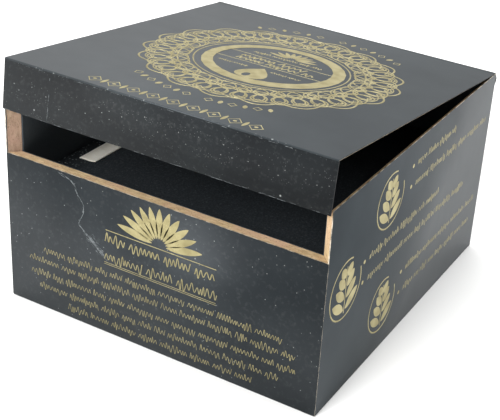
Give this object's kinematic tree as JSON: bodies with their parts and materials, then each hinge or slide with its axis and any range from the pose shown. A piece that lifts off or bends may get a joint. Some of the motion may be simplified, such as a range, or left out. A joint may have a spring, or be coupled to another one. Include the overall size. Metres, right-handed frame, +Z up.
{
  "type": "rigid presentation box with flip lid",
  "caption": "Rigid V-grooved board presentation box with a paper-hinged flip lid, short front flap and foam insert with a round recess.",
  "frame": {"origin": "centre of the underside, on the face the box stands on", "axes": "+Z up, +Y towards the hinged back wall, -Y out of the front wall, +X to the right as seen from the front"},
  "size_m": [0.076, 0.0817, 0.0561],
  "materials": {
    "printed_paper": "satin",
    "lining_paper": "matte",
    "raw_board": "matte",
    "black_foam": "matte",
    "cream_ribbon": "satin",
    "gold_foil": "satin"
  },
  "bodies": {
    "tray": {"front_paper": "printed_paper", "front_board": "raw_board", "front_lining": "lining_paper", "back_paper": "printed_paper", "back_board": "raw_board", "back_lining": "lining_paper", "left_paper": "printed_paper", "left_board": "raw_board", "left_lining": "lining_paper", "right_paper": "printed_paper", "right_board": "raw_board", "right_lining": "lining_paper", "bottom_paper": "printed_paper", "bottom_board": "raw_board", "bottom_lining": "lining_paper", "foam_base_layer": "black_foam", "foam_top_layer": "black_foam", "lift_ribbon": "cream_ribbon"},
    "lid": {"lid_paper": "printed_paper", "lid_board": "raw_board", "lid_lining": "lining_paper", "flap_paper": "printed_paper", "flap_board": "raw_board", "flap_lining": "lining_paper"}
  },
  "joints": [
    {"name": "lid_hinge", "type": "hinge", "parent": "tray", "child": "lid", "pos_m": [0, 0.0405, 0.0461], "axis": [-1, 0, 0], "range_deg": [-7.1, 205]}
  ]
}
